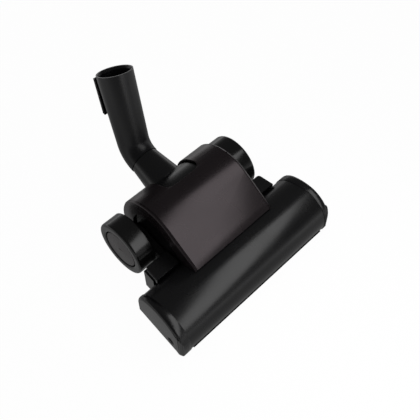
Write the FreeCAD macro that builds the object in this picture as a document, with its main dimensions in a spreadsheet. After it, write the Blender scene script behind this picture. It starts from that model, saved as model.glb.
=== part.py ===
import FreeCAD, Part
import math
import os
import re
import Sketcher

# Air driven turbo brush for a vacuum cleaner: a full width brush head, a drum shaped turbine housing with
# two large wheels behind it, and a tilting neck with a swivelling elbow that takes the wand.
# Millimetres and degrees. +X runs along the brush roll, the front of the head faces -Y, +Z is up.
# Every piece is drawn in the head's own frame, whose y = 0 lies under the crown of the brush hood, and is
# then moved by origin_shift and origin_side, so that the origin is on the floor in the middle of the whole.
# The head frame's x = 0 is the middle of the drum.

doc = FreeCAD.newDocument("TurboBrush")
sheet = doc.addObject("Spreadsheet::Sheet", "Sizes")

SIZES = [
    ("origin_shift", -108.9, "head frame to the origin midway along the length"),
    ("origin_side", 3.3, "middle of the drum to the origin midway along the width"),
    ("wall", 2.4, "wall of the mouldings"),
    ("brush_width", 247.4, "over the end caps, under the crown"),
    ("cap_width", 10.3, "end caps, along the head"),
    ("nose_radius", 35.0, "front quarter of the hood's section"),
    ("crown_y", 1.2, "top of the hood's section"),
    ("belly_z", 19.0, "height of the widest part of the section"),
    ("back_radius", 31.5, "rear shoulder of the hood's section"),
    ("back_y", 47.6, "rear wall of the hood"),
    ("hem_z", 9.0, "joint between hood and sole plate"),
    ("floor_gap", 2.0, "underside of the sole plate above the floor"),
    ("sole_thick", 2.6, "sole plate"),
    ("cap_proud", 0.7, "end cap outside the hood's section"),
    ("head_x", -3.6, "middle of the brush head beside the middle of the drum"),
    ("left_slant", 4.4, "left end face leans inwards to the rear"),
    ("right_slant", -3.5, "right end face leans inwards to the rear"),
    ("cap_round", 9.0, "front corners of the head seen from above"),
    ("cap_lip", 3.0, "locating lip of the end cap inside the hood"),
    ("fit_gap", 0.3, "gap between pieces that move on each other"),
    ("seat_gap", 0.2, "gap between pieces that are clipped together"),
    ("roll_y", -0.5, "axis of the brush roll"),
    ("roll_z", 25.0, "axis of the brush roll"),
    ("roll_end", 11.0, "core of the roll ends this far inside the hood"),
    ("core_radius", 15.0, "core of the brush roll"),
    ("bristle_reach", 24.8, "radius over the bristle tips"),
    ("tuft_radius", 1.7, "one bristle tuft"),
    ("tuft_pitch", 6.0, "tufts along the roll"),
    ("roll_shaft_radius", 3.0, "steel shaft of the brush roll"),
    ("roll_bearing_radius", 8.0, "bush at each end of the roll"),
    ("roll_bearing_width", 6.0, "bush at each end of the roll"),
    ("running_gap", 0.06, "radial clearance of the shafts in their bushes"),
    ("mouth_end", 13.9, "suction mouth ends this far inside the hood"),
    ("mouth_front", -27.0, "front edge of the suction mouth"),
    ("mouth_rear", 32.0, "rear edge of the suction mouth"),
    ("mouth_round", 4.0, "corners of the suction mouth"),
    ("bumper_end", 5.4, "soft strip ends this far inside the hood"),
    ("bumper_thick", 1.2, "soft strip along the front edge"),
    ("drum_y", 87.2, "axis of drum, turbine and neck tilt"),
    ("drum_z", 43.4, "axis of drum, turbine and neck tilt"),
    ("drum_radius", 52.8, "outside of the turbine cover"),
    ("cover_width", 124.8, "turbine cover"),
    ("cover_flange", 19.0, "depth of the cover's side flanges"),
    ("cover_low", -15.0, "lower edge of the cover at the rear, about the drum axis"),
    ("apron_slope", 35.8, "slope of the cover's front apron"),
    ("apron_y", 14.35, "front edge of the apron"),
    ("apron_gap", 0.8, "apron above the brush hood"),
    ("window_half", 26.0, "window for the neck, half width"),
    ("window_top", 81.0, "upper edge of the window, about the drum axis"),
    ("window_low", -37.0, "lower edge of the window, about the drum axis"),
    ("rim_edge", 0.7, "bevelled edge of the cover's sides"),
    ("window_round", 11.0, "corners of the window"),
    ("plate_thick", 2.2, "drum's side plates"),
    ("plate_radius", 48.3, "side plates under the cover"),
    ("housing_radius", 46.3, "turbine housing, the neck's seat"),
    ("belt_room", 1.9, "turbine housing ends this far from the belt"),
    ("port_low", 12.0, "outlet of the turbine housing, about the drum axis"),
    ("port_high", 48.0, "outlet of the turbine housing, about the drum axis"),
    ("port_half", 17.0, "outlet of the turbine housing, half width"),
    ("duct_side", 7.1, "air duct ends this far from the end of the housing"),
    ("duct_low", 9.5, "air duct from brush to turbine"),
    ("duct_high", 27.0, "air duct from brush to turbine"),
    ("turbine_radius", 31.0, "turbine wheel"),
    ("turbine_half", 27.0, "turbine wheel, half width"),
    ("turbine_blades", 12, "blades of the turbine wheel"),
    ("turbine_shaft_radius", 3.0, "steel shaft of the turbine"),
    ("bearing_radius", 8.0, "ball bearings of the turbine shaft"),
    ("bearing_width", 4.0, "ball bearings of the turbine shaft"),
    ("belt_in", 9.8, "middle of the belt inside the drum's side plate"),
    ("belt_width", 6.0, "flat drive belt"),
    ("belt_thick", 1.2, "flat drive belt"),
    ("roll_pulley_radius", 12.5, "running face of the pulley on the roll"),
    ("turbine_pulley_radius", 5.0, "running face of the pulley on the turbine"),
    ("flange_height", 1.8, "pulley flanges above the running face"),
    ("flange_thick", 1.0, "pulley flanges"),
    ("wheel_y", 106.7, "axis of the wheels"),
    ("wheel_radius", 36.0, "wheels over the tyre"),
    ("wheel_gap", 1.6, "wheels beside their brackets"),
    ("wheel_width", 25.4, "wheels"),
    ("tyre_depth", 3.2, "tyre over the rim"),
    ("tyre_shoulder", 2.6, "rounded edge of the tyre"),
    ("face_ring", 25.8, "inner radius of the tyre's side face"),
    ("hub_cap_radius", 24.4, "hub cap"),
    ("hub_cap_thick", 2.6, "hub cap"),
    ("rim_thick", 2.6, "wheel rim"),
    ("boss_radius", 9.0, "wheel boss"),
    ("axle_radius", 4.0, "wheel axle"),
    ("clip_radius", 6.4, "retaining clip on the wheel axle"),
    ("clip_thick", 0.8, "retaining clip on the wheel axle"),
    ("base_low", 4.0, "underside of the chassis"),
    ("base_high", 36.0, "upper edge of the chassis"),
    ("arm_high", 44.0, "top of the side arms"),
    ("arm_width", 35.4, "side arms at their front, outside the cover"),
    ("arm_slant", 4.6, "side arms lean inwards to the rear"),
    ("arm_step", 1.6, "arm covers set in from the chassis"),
    ("arm_rear", 65.5, "rear face of the side arms"),
    ("arm_round", 4.0, "rear corner of the arm covers"),
    ("arm_edge", 1.2, "upper edge of the arm covers"),
    ("bracket_width", 7.8, "axle brackets outside the cover"),
    ("bracket_radius", 12.5, "axle brackets about the axle"),
    ("neck_pitch", 14.8, "neck above the horizontal, as stored"),
    ("saddle_thick", 3.0, "curved shutter of the neck"),
    ("saddle_half", 24.5, "curved shutter of the neck, half width"),
    ("saddle_above", 96.0, "shutter above the neck's axis"),
    ("saddle_below", 39.0, "shutter below the neck's axis"),
    ("collar_root", 24.6, "outer radius of the neck at the shutter"),
    ("collar_end", 19.2, "outer radius of the neck at the elbow"),
    ("collar_bore", 16.6, "bore that holds the elbow"),
    ("collar_reach", 84.0, "end of the neck from the drum axis"),
    ("collar_seat", 15.0, "length of the elbow's spigot in the neck"),
    ("tube_wall", 2.2, "wall of the elbow tube"),
    ("elbow_turn", 50.5, "bend of the elbow"),
    ("elbow_swing", 12.65, "elbow turned sideways about the neck, as stored"),
    ("elbow_radius", 33.9, "bend of the elbow, on its centre line"),
    ("elbow_tube", 20.0, "outer radius of the elbow at the bend"),
    ("socket_outer", 22.4, "outer radius at the mouth"),
    ("socket_bore", 19.05, "bore of the wand socket"),
    ("socket_depth", 42.0, "straight bore of the wand socket"),
    ("socket_lead", 1.6, "lead in of the wand socket"),
    ("tube_length", 87.0, "straight part of the elbow tube"),
    ("rail_length", 44.0, "parking rail on the back of the tube"),
    ("rail_start", 6.0, "parking rail below the mouth"),
    ("rail_height", 6.5, "parking rail above the tube"),
    ("rail_half", 8.0, "parking rail, half width"),
    ("rail_turn", 10.0, "parking rail turned to the left about the tube"),
    ("roller_in", 21.5, "rollers inside the ends of the mouth"),
    ("roller_y", 39.2, "rollers under the sole"),
    ("roller_radius", 4.8, "rollers under the sole"),
    ("roller_half", 4.5, "rollers under the sole, half width"),
    ("roller_pin", 1.5, "pin of each roller"),
    ("screw_head", 3.2, "screw heads"),
    ("screw_head_high", 1.8, "screw heads"),
    ("screw_shank", 1.5, "screw shanks"),
    ("screw_length", 7.0, "screw shanks"),
]

for row, (name, number, meaning) in enumerate(SIZES, start=1):
    sheet.set("A%d" % row, meaning)
    sheet.set("B%d" % row, str(number))
    sheet.setAlias("B%d" % row, name)
doc.recompute()
ALIASES = {name for name, number, meaning in SIZES}

# Sizes that follow from the ones above
FOLLOWING = {
    "hood_length": "brush_width - 2 * cap_width",
    "roll_length": "hood_length - 2 * roll_end",
    "mouth_half": "hood_length / 2 - mouth_end",
    "bumper_half": "hood_length / 2 - bumper_end",
    "roller_x": "mouth_half - roller_in",
    "plate_outer": "cover_width / 2 - wall - seat_gap",
    "belt_x": "plate_outer - belt_in",
    "housing_right": "belt_x - belt_width / 2 - belt_room",
    "duct_half": "housing_right - duct_side",
    "bracket_outer": "cover_width / 2 + bracket_width",
    "wheel_outer": "bracket_outer + wheel_gap + wheel_width",
    "arm_half": "cover_width / 2 + arm_width",
}
PIECES = []


# Sizes written as text, such as "belly_z + nose_radius", become expressions on the sheet's cells
def on_sheet(text):
    def cell(word):
        name = word.group(0)
        if name in FOLLOWING:
            return "(%s)" % on_sheet(FOLLOWING[name])
        return "Sizes." + name if name in ALIASES else name
    return re.sub(r"[a-z_]+", cell, str(text))


def size(text):
    result = sheet.evalExpression(on_sheet(text))
    return float(getattr(result, "Value", result))


def bind(thing, where, text):
    thing.setExpression(where, on_sheet(text))


# A piece's own body, placed in the head frame
def new_body(label, at=("0", "0", "0")):
    body = doc.addObject("PartDesign::Body", label.title().replace("_", ""))
    body.Label = label
    bind(body, ".Placement.Base.x", "origin_side + (%s)" % at[0])
    bind(body, ".Placement.Base.y", "origin_shift + (%s)" % at[1])
    bind(body, ".Placement.Base.z", at[2])
    PIECES.append(body)
    return body


# A sketch on one of the body's own planes, moved along the plane's normal, and in the plane if asked
def new_sketch(body, role, away="0", across="0", upward="0", turn="0", roll="0"):
    sketch = body.newObject("Sketcher::SketchObject", body.Name + "Sketch")
    plane = [feature for feature in body.Origin.OriginFeatures if feature.Role == role][0]
    sketch.AttachmentSupport = [(plane, "")]
    sketch.MapMode = "FlatFace"
    spin = (FreeCAD.Rotation(FreeCAD.Vector(0, 0, 1), size(turn))
            * FreeCAD.Rotation(FreeCAD.Vector(1, 0, 0), size(roll)))
    sketch.AttachmentOffset = FreeCAD.Placement(FreeCAD.Vector(0, 0, 0), spin)
    bind(sketch, ".AttachmentOffset.Base.x", across)
    bind(sketch, ".AttachmentOffset.Base.y", upward)
    bind(sketch, ".AttachmentOffset.Base.z", away)
    return sketch


# The same corners for the right side, or mirrored for the left side
def sided(corners, side):
    if side > 0:
        return corners
    turned_over = {"left": "right", "right": "left"}
    return [("-(%s)" % corner[0],) + tuple(corner[1:3]) + tuple(turned_over[word] for word in corner[3:])
            for corner in corners]


# Holds one point of the sketch at two sizes from the sheet
def hold(sketch, geometry, end, across, upward):
    for kind, axis, text in (("DistanceX", -2, across), ("DistanceY", -1, upward)):
        number = size(text)
        if abs(number) < 1e-9:
            sketch.addConstraint(Sketcher.Constraint("PointOnObject", geometry, end, axis))
        else:
            index = sketch.addConstraint(Sketcher.Constraint(kind, -1, 1, geometry, end, number))
            bind(sketch, "Constraints[%d]" % index, text)


def arc_between(start, end, radius, left):
    chord = end - start
    half = chord.Length / 2
    lift = math.sqrt(max(radius * radius - half * half, 0.0))
    side = FreeCAD.Vector(-chord.y, chord.x, 0).normalize()
    centre = start + chord * 0.5 + side * (lift if left else -lift)
    circle = Part.Circle(centre, FreeCAD.Vector(0, 0, 1), radius)
    first, last = (start, end) if left else (end, start)
    return Part.ArcOfCircle(circle, circle.parameter(first), circle.parameter(last))


# A closed outline. Each corner is (across, up), or (across, up, radius, "left" or "right") where the edge
# to the next corner is an arc that turns that way
def outline(sketch, corners):
    points = [FreeCAD.Vector(size(corner[0]), size(corner[1]), 0) for corner in corners]
    first_edge = sketch.GeometryCount
    ends = []
    for number, corner in enumerate(corners):
        start = points[number]
        end = points[(number + 1) % len(points)]
        left = True
        if len(corner) == 4:
            left = corner[3] == "left"
            sketch.addGeometry(arc_between(start, end, size(corner[2]), left), False)
        else:
            sketch.addGeometry(Part.LineSegment(start, end), False)
        ends.append((first_edge + number, 1, 2) if left else (first_edge + number, 2, 1))
    for number, (edge, start, end) in enumerate(ends):
        after = ends[(number + 1) % len(ends)]
        sketch.addConstraint(Sketcher.Constraint("Coincident", edge, end, after[0], after[1]))
    for (edge, start, end), corner in zip(ends, corners):
        hold(sketch, edge, start, corner[0], corner[1])
        if len(corner) == 4:
            index = sketch.addConstraint(Sketcher.Constraint("Radius", edge, size(corner[2])))
            bind(sketch, "Constraints[%d]" % index, corner[2])


def rectangle(sketch, left, low, right, high):
    outline(sketch, [(left, low), (right, low), (right, high), (left, high)])


def circle(sketch, across, upward, radius):
    centre = FreeCAD.Vector(size(across), size(upward), 0)
    shape = Part.Circle(centre, FreeCAD.Vector(0, 0, 1), size(radius))
    index = sketch.addGeometry(shape, False)
    hold(sketch, index, 3, across, upward)
    number = sketch.addConstraint(Sketcher.Constraint("Radius", index, size(radius)))
    bind(sketch, "Constraints[%d]" % number, radius)


# The features that turn a sketch into metal or air
def pad(body, sketch, length, middle=False, back=False):
    feature = body.newObject("PartDesign::Pad", body.Name + "Pad")
    feature.Profile = sketch
    bind(feature, "Length", length)
    feature.Midplane = middle
    feature.Reversed = back
    doc.recompute()
    return feature


def pocket(body, sketch, length, middle=False, back=False):
    before = body.Tip.Shape.Volume
    feature = body.newObject("PartDesign::Pocket", body.Name + "Pocket")
    feature.Profile = sketch
    bind(feature, "Length", length)
    feature.Midplane = middle
    feature.Reversed = back
    doc.recompute()
    if feature.Shape.Volume >= before - 1e-3:
        raise RuntimeError(body.Label + ": a pocket cuts nothing")
    return feature


def revolve(body, sketch, axis="H_Axis", angle="360", groove=False):
    kind = "PartDesign::Groove" if groove else "PartDesign::Revolution"
    feature = body.newObject(kind, body.Name + ("Groove" if groove else "Turning"))
    feature.Profile = sketch
    feature.ReferenceAxis = (sketch, [axis])
    bind(feature, "Angle", angle)
    doc.recompute()
    return feature


def edges_where(body, wanted):
    shape = body.Tip.Shape
    return ["Edge%d" % number for number, edge in enumerate(shape.Edges, start=1) if wanted(edge)]


def soften(body, kind, width, wanted):
    names = edges_where(body, wanted)
    if not names:
        raise RuntimeError(body.Label + ": no edge to soften")
    base = body.Tip
    feature = body.newObject("PartDesign::" + kind, body.Name + kind)
    feature.Base = (base, names)
    bind(feature, "Radius" if kind == "Fillet" else "Size", width)
    doc.recompute()
    return feature


def origin_axis(body, role):
    return [feature for feature in body.Origin.OriginFeatures if feature.Role == role][0]


def polar_pattern(body, feature, role, count):
    pattern = body.newObject("PartDesign::PolarPattern", body.Name + "Pattern")
    pattern.Originals = [feature]
    pattern.Axis = (origin_axis(body, role), [""])
    pattern.Angle = 360
    bind(pattern, "Occurrences", count)
    body.Tip = pattern
    doc.recompute()
    return pattern


def linear_pattern(body, feature, role, length, count):
    pattern = body.newObject("PartDesign::LinearPattern", body.Name + "Row")
    pattern.Originals = [feature]
    pattern.Direction = (origin_axis(body, role), [""])
    bind(pattern, "Length", length)
    bind(pattern, "Occurrences", count)
    body.Tip = pattern
    doc.recompute()
    return pattern


def mirrored(body, feature, role="YZ_Plane"):
    mirror = body.newObject("PartDesign::Mirrored", body.Name + "Mirror")
    mirror.Originals = [feature]
    mirror.MirrorPlane = (origin_axis(body, role), [""])
    body.Tip = mirror
    doc.recompute()
    return mirror


# The hood's section: a nose arc, a flatter crown arc tangent to it, and a shoulder arc down to the rear wall
BELT_ON_HEAD = "(belt_x - head_x)"
CROWN_Z = "(belly_z + nose_radius)"
SPAN = "(back_y - crown_y)"
CROWN_RADIUS = ("(((%s - back_radius)^2 + nose_radius^2 - back_radius^2) / (2 * (nose_radius - back_radius)))"
                % SPAN)
ROOT_Z = "(%s - %s)" % (CROWN_Z, CROWN_RADIUS)
SHOULDER_SPAN = "(%s - back_radius)" % CROWN_RADIUS
ACROSS = "((%s - back_radius) / %s)" % (SPAN, SHOULDER_SPAN)
UPWARD = "((belly_z - %s) / %s)" % (ROOT_Z, SHOULDER_SPAN)


# Front of the section at a height, grown outwards by an amount
def nose_y(height, grow="0"):
    return "(crown_y - sqrt((nose_radius + (%s))^2 - (belly_z - (%s))^2))" % (grow, height)


def hood_section(grow, low):
    return [
        (nose_y(low, grow), low, "nose_radius + (%s)" % grow, "right"),
        ("crown_y", CROWN_Z + " + (%s)" % grow, CROWN_RADIUS + " + (%s)" % grow, "right"),
        ("crown_y + (%s + (%s)) * %s" % (CROWN_RADIUS, grow, ACROSS),
         "%s + (%s + (%s)) * %s" % (ROOT_Z, CROWN_RADIUS, grow, UPWARD),
         "back_radius + (%s)" % grow, "right"),
        ("back_y + (%s)" % grow, "belly_z"),
        ("back_y + (%s)" % grow, low),
    ]


# A point of the drum's side view at a radius and an angle about the drum axis
def drum_point(radius, angle):
    return ("drum_y + (%s) * cos(%s)" % (radius, angle), "drum_z + (%s) * sin(%s)" % (radius, angle))


# Height of the apron's line at a place, for the line that is tangent to a circle about the drum axis
def apron_z(place, radius):
    return ("drum_z + ((%s) - (drum_y - (%s)) * sin(apron_slope)) / cos(apron_slope)" % (radius, place))


# Brush hood: the barrel shaped shell over the brush roll, open underneath and at both ends
def make_brush_hood():
    body = new_body("brush_hood", ("head_x", "0", "0"))
    sketch = new_sketch(body, "YZ_Plane")
    outline(sketch, hood_section("0", "hem_z"))
    pad(body, sketch, "hood_length", middle=True)
    inside = new_sketch(body, "YZ_Plane")
    outline(inside, hood_section("-wall", "hem_z - 1"))
    pocket(body, inside, "hood_length + 2", middle=True)
    duct = new_sketch(body, "XZ_Plane", "-back_y - 1")
    rectangle(duct, "-duct_half - head_x", "hem_z - 1", "duct_half - head_x", "duct_high")
    pocket(body, duct, "wall + 2", back=True)
    slot = new_sketch(body, "XY_Plane", "%s + 1" % CROWN_Z)
    rectangle(slot, BELT_ON_HEAD + " - belt_width / 2 - 2", "back_y - 24",
              BELT_ON_HEAD + " + belt_width / 2 + 2", "back_y + 1")
    pocket(body, slot, "%s + 1 - hem_z - 3" % CROWN_Z)


# End caps: the closed cheeks of the head, with a rounded outer edge, a lip that locates in the hood and the
# seat of the brush roll's bush
def make_end_cap(label, side):
    body = new_body(label, ("head_x", "0", "0"))
    lean = "left_slant" if side < 0 else "right_slant"
    face = "hood_length / 2"
    reach = "(brush_width - hood_length) / 2"
    sketch = new_sketch(body, "YZ_Plane", "%d * %s" % (side, face))
    outline(sketch, hood_section("cap_proud", "floor_gap + sole_thick"))
    pad(body, sketch, reach + " + 6", back=side < 0)
    front = "(crown_y - nose_radius - cap_proud)"
    rear = "(back_y + 10)"
    half = "(brush_width / 2 + (crown_y - %s) * tan(%s))" % (front, lean)
    round_x = "(%s - cap_round * ((1 + sin(%s)) * tan(%s) + cos(%s)))" % (half, lean, lean, lean)
    slant = new_sketch(body, "XY_Plane", "-1")
    outline(slant, sided([
        (round_x, front + " - 2"), (half + " + 30", front + " - 2"), (half + " + 30", rear),
        ("%s - (%s - %s) * tan(%s)" % (half, rear, front, lean), rear),
        ("%s + cap_round * cos(%s)" % (round_x, lean), "%s + cap_round * (1 + sin(%s))" % (front, lean),
         "cap_round", "right"),
        (round_x, front),
    ], side))
    pocket(body, slant, "%s + 10" % CROWN_Z, back=True)
    lip = new_sketch(body, "YZ_Plane", "%d * %s" % (side, face))
    outline(lip, hood_section("-wall - seat_gap", "hem_z + seat_gap"))
    outline(lip, hood_section("-wall * 2 - seat_gap", "hem_z + wall"))
    pad(body, lip, "cap_lip", back=side > 0)
    boss = new_sketch(body, "YZ_Plane", "%d * %s" % (side, face))
    circle(boss, "roll_y", "roll_z", "roll_bearing_radius + wall")
    pad(body, boss, "roll_bearing_width", back=side > 0)
    seat = new_sketch(body, "YZ_Plane", "%d * (%s - roll_bearing_width)" % (side, face))
    circle(seat, "roll_y", "roll_z", "roll_bearing_radius")
    pocket(body, seat, "roll_bearing_width", back=side > 0)
    recess = new_sketch(body, "YZ_Plane", "%d * (brush_width / 2 + 1)" % side)
    circle(recess, "roll_y - 11", "roll_z - 9", "screw_head + 1.2")
    pocket(body, recess, "4.4", back=side < 0)
    hole = new_sketch(body, "YZ_Plane", "%d * (brush_width / 2 + 1)" % side)
    circle(hole, "roll_y - 11", "roll_z - 9", "screw_shank")
    pocket(body, hole, "14", back=side < 0)


# Sole plate: a shallow channel under the hood with the suction mouth, the air notches of the front edge and
# the pockets of the rollers
def make_sole_plate():
    body = new_body("sole_plate", ("head_x", "0", "0"))
    top = "floor_gap + sole_thick"
    sketch = new_sketch(body, "YZ_Plane")
    outline(sketch, [
        (nose_y("floor_gap"), "floor_gap"),
        ("back_y", "floor_gap"),
        ("back_y", "hem_z"),
        ("back_y - wall", "hem_z"),
        ("back_y - wall", top),
        (nose_y("hem_z") + " + wall", top),
        (nose_y("hem_z") + " + wall", "hem_z"),
        (nose_y("hem_z"), "hem_z", "nose_radius", "left"),
    ])
    pad(body, sketch, "hood_length", middle=True)
    ends = new_sketch(body, "XY_Plane", "floor_gap")
    rectangle(ends, "mouth_half", nose_y("floor_gap") + " + 1", "hood_length / 2", "back_y - 1")
    land = pad(body, ends, "hem_z - floor_gap - seat_gap")
    mirrored(body, land)
    mouth = new_sketch(body, "XY_Plane", "floor_gap - 1")
    rectangle(mouth, "-mouth_half", "mouth_front", "mouth_half", "mouth_rear")
    pocket(body, mouth, "hem_z", back=True)
    corner = size("mouth_half")
    sides = [size("mouth_front"), size("mouth_rear")]
    soften(body, "Fillet", "mouth_round", lambda edge: abs(abs(edge.CenterOfMass.x) - corner) < 0.01
           and edge.BoundBox.ZLength > 1 and edge.BoundBox.YLength < 0.01
           and min(abs(edge.CenterOfMass.y - side) for side in sides) < 0.01)
    notch = new_sketch(body, "XY_Plane", "floor_gap - 1")
    rectangle(notch, "-mouth_half + 10", nose_y("floor_gap") + " - 3", "-mouth_half + 24", "mouth_front + 2")
    cut = pocket(body, notch, "2.2", back=True)
    linear_pattern(body, cut, "X_Axis", "2 * mouth_half - 34", "6")
    for side in (-1, 1):
        bay = new_sketch(body, "XY_Plane", "floor_gap - 1")
        rectangle(bay, "%d * roller_x - roller_half - 0.6" % side, "roller_y - roller_radius - 0.6",
                  "%d * roller_x + roller_half + 0.6" % side, "roller_y + roller_radius + 0.6")
        pocket(body, bay, "sole_thick + 2", back=True)
        for end in (-1, 1):
            ear = new_sketch(body, "YZ_Plane", "%d * roller_x + %d * (roller_half + 0.6)" % (side, end))
            rectangle(ear, "roller_y - 4", top + " - 1", "roller_y + 4", "roller_radius + 3")
            pad(body, ear, "1.8", back=end < 0)
        pin = new_sketch(body, "YZ_Plane", "%d * roller_x" % side)
        circle(pin, "roller_y", "roller_radius", "roller_pin")
        pocket(body, pin, "2 * (roller_half + 2.4)", middle=True)
        for place in ("mouth_front + 6", "mouth_rear + 3"):
            bore = new_sketch(body, "XY_Plane", "floor_gap - 1")
            circle(bore, "%d * (mouth_half + 6.5)" % side, place, "screw_head + 0.4")
            pocket(body, bore, "screw_head_high + 1.4", back=True)
            shank = new_sketch(body, "XY_Plane", "floor_gap")
            circle(shank, "%d * (mouth_half + 6.5)" % side, place, "screw_shank")
            pocket(body, shank, "hem_z", back=True)


# Soft strip along the lower front edge that keeps the head from marking skirting boards
def make_front_bumper():
    body = new_body("front_bumper", ("head_x", "0", "0"))
    low = "floor_gap + 1.4"
    high = "hem_z - 0.5"
    sketch = new_sketch(body, "YZ_Plane")
    outline(sketch, [
        (nose_y(low), low, "nose_radius", "right"),
        (nose_y(high), high),
        (nose_y(high, "bumper_thick"), high, "nose_radius + bumper_thick", "left"),
        (nose_y(low, "bumper_thick"), low),
    ])
    pad(body, sketch, "2 * bumper_half", middle=True)


# Belt guard: the channel that crosses the suction mouth under the drive belt
def make_belt_guard():
    body = new_body("belt_guard")
    half = "(belt_width / 2 + 2.6)"
    low = "floor_gap + sole_thick"
    sketch = new_sketch(body, "XY_Plane", low)
    rectangle(sketch, "belt_x - " + half, "mouth_front - 1.6", "belt_x + " + half, "mouth_rear + 5")
    pad(body, sketch, "4.2")
    channel = new_sketch(body, "XY_Plane", low + " + 1.4")
    rectangle(channel, "belt_x - %s + 1.2" % half, "mouth_front - 3",
              "belt_x + %s - 1.2" % half, "mouth_rear + 7")
    pocket(body, channel, "5", back=True)


# Chassis: the lower tray behind the hood, with the rear wall of the drum, two side arms and the brackets
# that carry the wheel axles
def make_chassis():
    body = new_body("chassis_base")
    rear_low = "(drum_y + sqrt(drum_radius^2 - (drum_z - base_low)^2))"
    rear_high = drum_point("drum_radius", "cover_low")
    inner = "(drum_radius - wall)"
    floor = "(base_low + wall)"
    inner_low = "(drum_y + sqrt(%s^2 - (drum_z - %s)^2))" % (inner, floor)
    half = "cover_width / 2"
    tray = new_sketch(body, "YZ_Plane")
    outline(tray, [
        ("back_y", "base_low"),
        (rear_low, "base_low", "drum_radius", "left"),
        rear_high,
        ("back_y", rear_high[1]),
    ])
    pad(body, tray, "cover_width", middle=True)
    hollow = new_sketch(body, "YZ_Plane")
    inner_high = ("drum_y + sqrt(%s^2 - (%s + 1 - drum_z)^2)" % (inner, rear_high[1]), rear_high[1] + " + 1")
    outline(hollow, [
        ("back_y + wall", floor),
        (inner_low, floor, inner, "left"),
        inner_high,
        ("back_y + wall", rear_high[1] + " + 1"),
    ])
    pocket(body, hollow, "2 * (plate_outer + seat_gap)", middle=True)
    for side in (1, -1):
        arm = new_sketch(body, "XY_Plane", "base_low")
        outline(arm, sided([
            (half + " - 1", "back_y"), ("arm_half", "back_y"),
            ("arm_half - (arm_rear - back_y) * tan(arm_slant)", "arm_rear"), (half + " - 1", "arm_rear"),
        ], side))
        pad(body, arm, "base_high - base_low")
        well = new_sketch(body, "XY_Plane", floor)
        outline(well, sided([
            (half + " + 0.5", "back_y + wall"), ("arm_half - wall - 0.5", "back_y + wall"),
            ("arm_half - wall - 0.5 - (arm_rear - back_y - 2 * wall) * tan(arm_slant)", "arm_rear - wall"),
            (half + " + 0.5", "arm_rear - wall"),
        ], side))
        pocket(body, well, "base_high", back=True)
        bracket = new_sketch(body, "YZ_Plane", "%d * (%s - 1)" % (side, half))
        outline(bracket, [
            ("arm_rear - 1", "base_low"),
            ("wheel_y", "wheel_radius - bracket_radius", "bracket_radius", "left"),
            ("wheel_y + bracket_radius", "wheel_radius", "bracket_radius", "left"),
            ("wheel_y", "wheel_radius + bracket_radius"),
            ("arm_rear - 1", "base_high"),
        ])
        pad(body, bracket, "bracket_outer - %s + 1" % half, back=side < 0)
        bore = new_sketch(body, "YZ_Plane", "%d * (bracket_outer + 1)" % side)
        circle(bore, "wheel_y", "wheel_radius", "axle_radius")
        pocket(body, bore, "bracket_outer - plate_outer + 2", back=side < 0)
    sill = new_sketch(body, "XZ_Plane", "-back_y + 1")
    rectangle(sill, "-plate_outer", "duct_low", "plate_outer", "base_high + 2")
    pocket(body, sill, "wall + 1.2", back=False)
    window = new_sketch(body, "XZ_Plane", "-drum_y - drum_radius - 2")
    rectangle(window, "-window_half", "drum_z + drum_radius * sin(window_low)",
              "window_half", "base_high + 2")
    pocket(body, window, "drum_radius", back=True)


# Arm covers: lids with a rounded rear corner on the two side arms
def make_arm_cover(label, side):
    body = new_body(label)
    half = "(cover_width / 2 + seat_gap)"
    outer = "(arm_half - arm_step)"
    rear = "(arm_rear - arm_step)"
    sketch = new_sketch(body, "XY_Plane", "base_high")
    outline(sketch, sided([
        (half, "back_y - 6"), (outer + " + 6 * tan(arm_slant)", "back_y - 6"),
        ("%s - (%s - back_y) * tan(arm_slant)" % (outer, rear), rear), (half, rear),
    ], side))
    pad(body, sketch, "arm_high - base_high")
    clear = new_sketch(body, "YZ_Plane")
    outline(clear, hood_section("seat_gap", "hem_z"))
    pocket(body, clear, "3 * arm_half", middle=True)
    high = size("arm_high")
    rear_at = size(rear)
    inner_at = size(half)
    soften(body, "Fillet", "arm_round", lambda edge: edge.BoundBox.YLength < 0.5
           and edge.BoundBox.ZLength > size("arm_high - base_high") / 2
           and abs(edge.CenterOfMass.y - rear_at) < 0.5
           and abs(edge.CenterOfMass.x) > inner_at + size("wall"))
    soften(body, "Chamfer", "arm_edge", lambda edge: edge.BoundBox.ZMin > high - 0.01
           and abs(edge.CenterOfMass.x) > inner_at + 1 and edge.CenterOfMass.y > size("back_y"))


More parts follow.
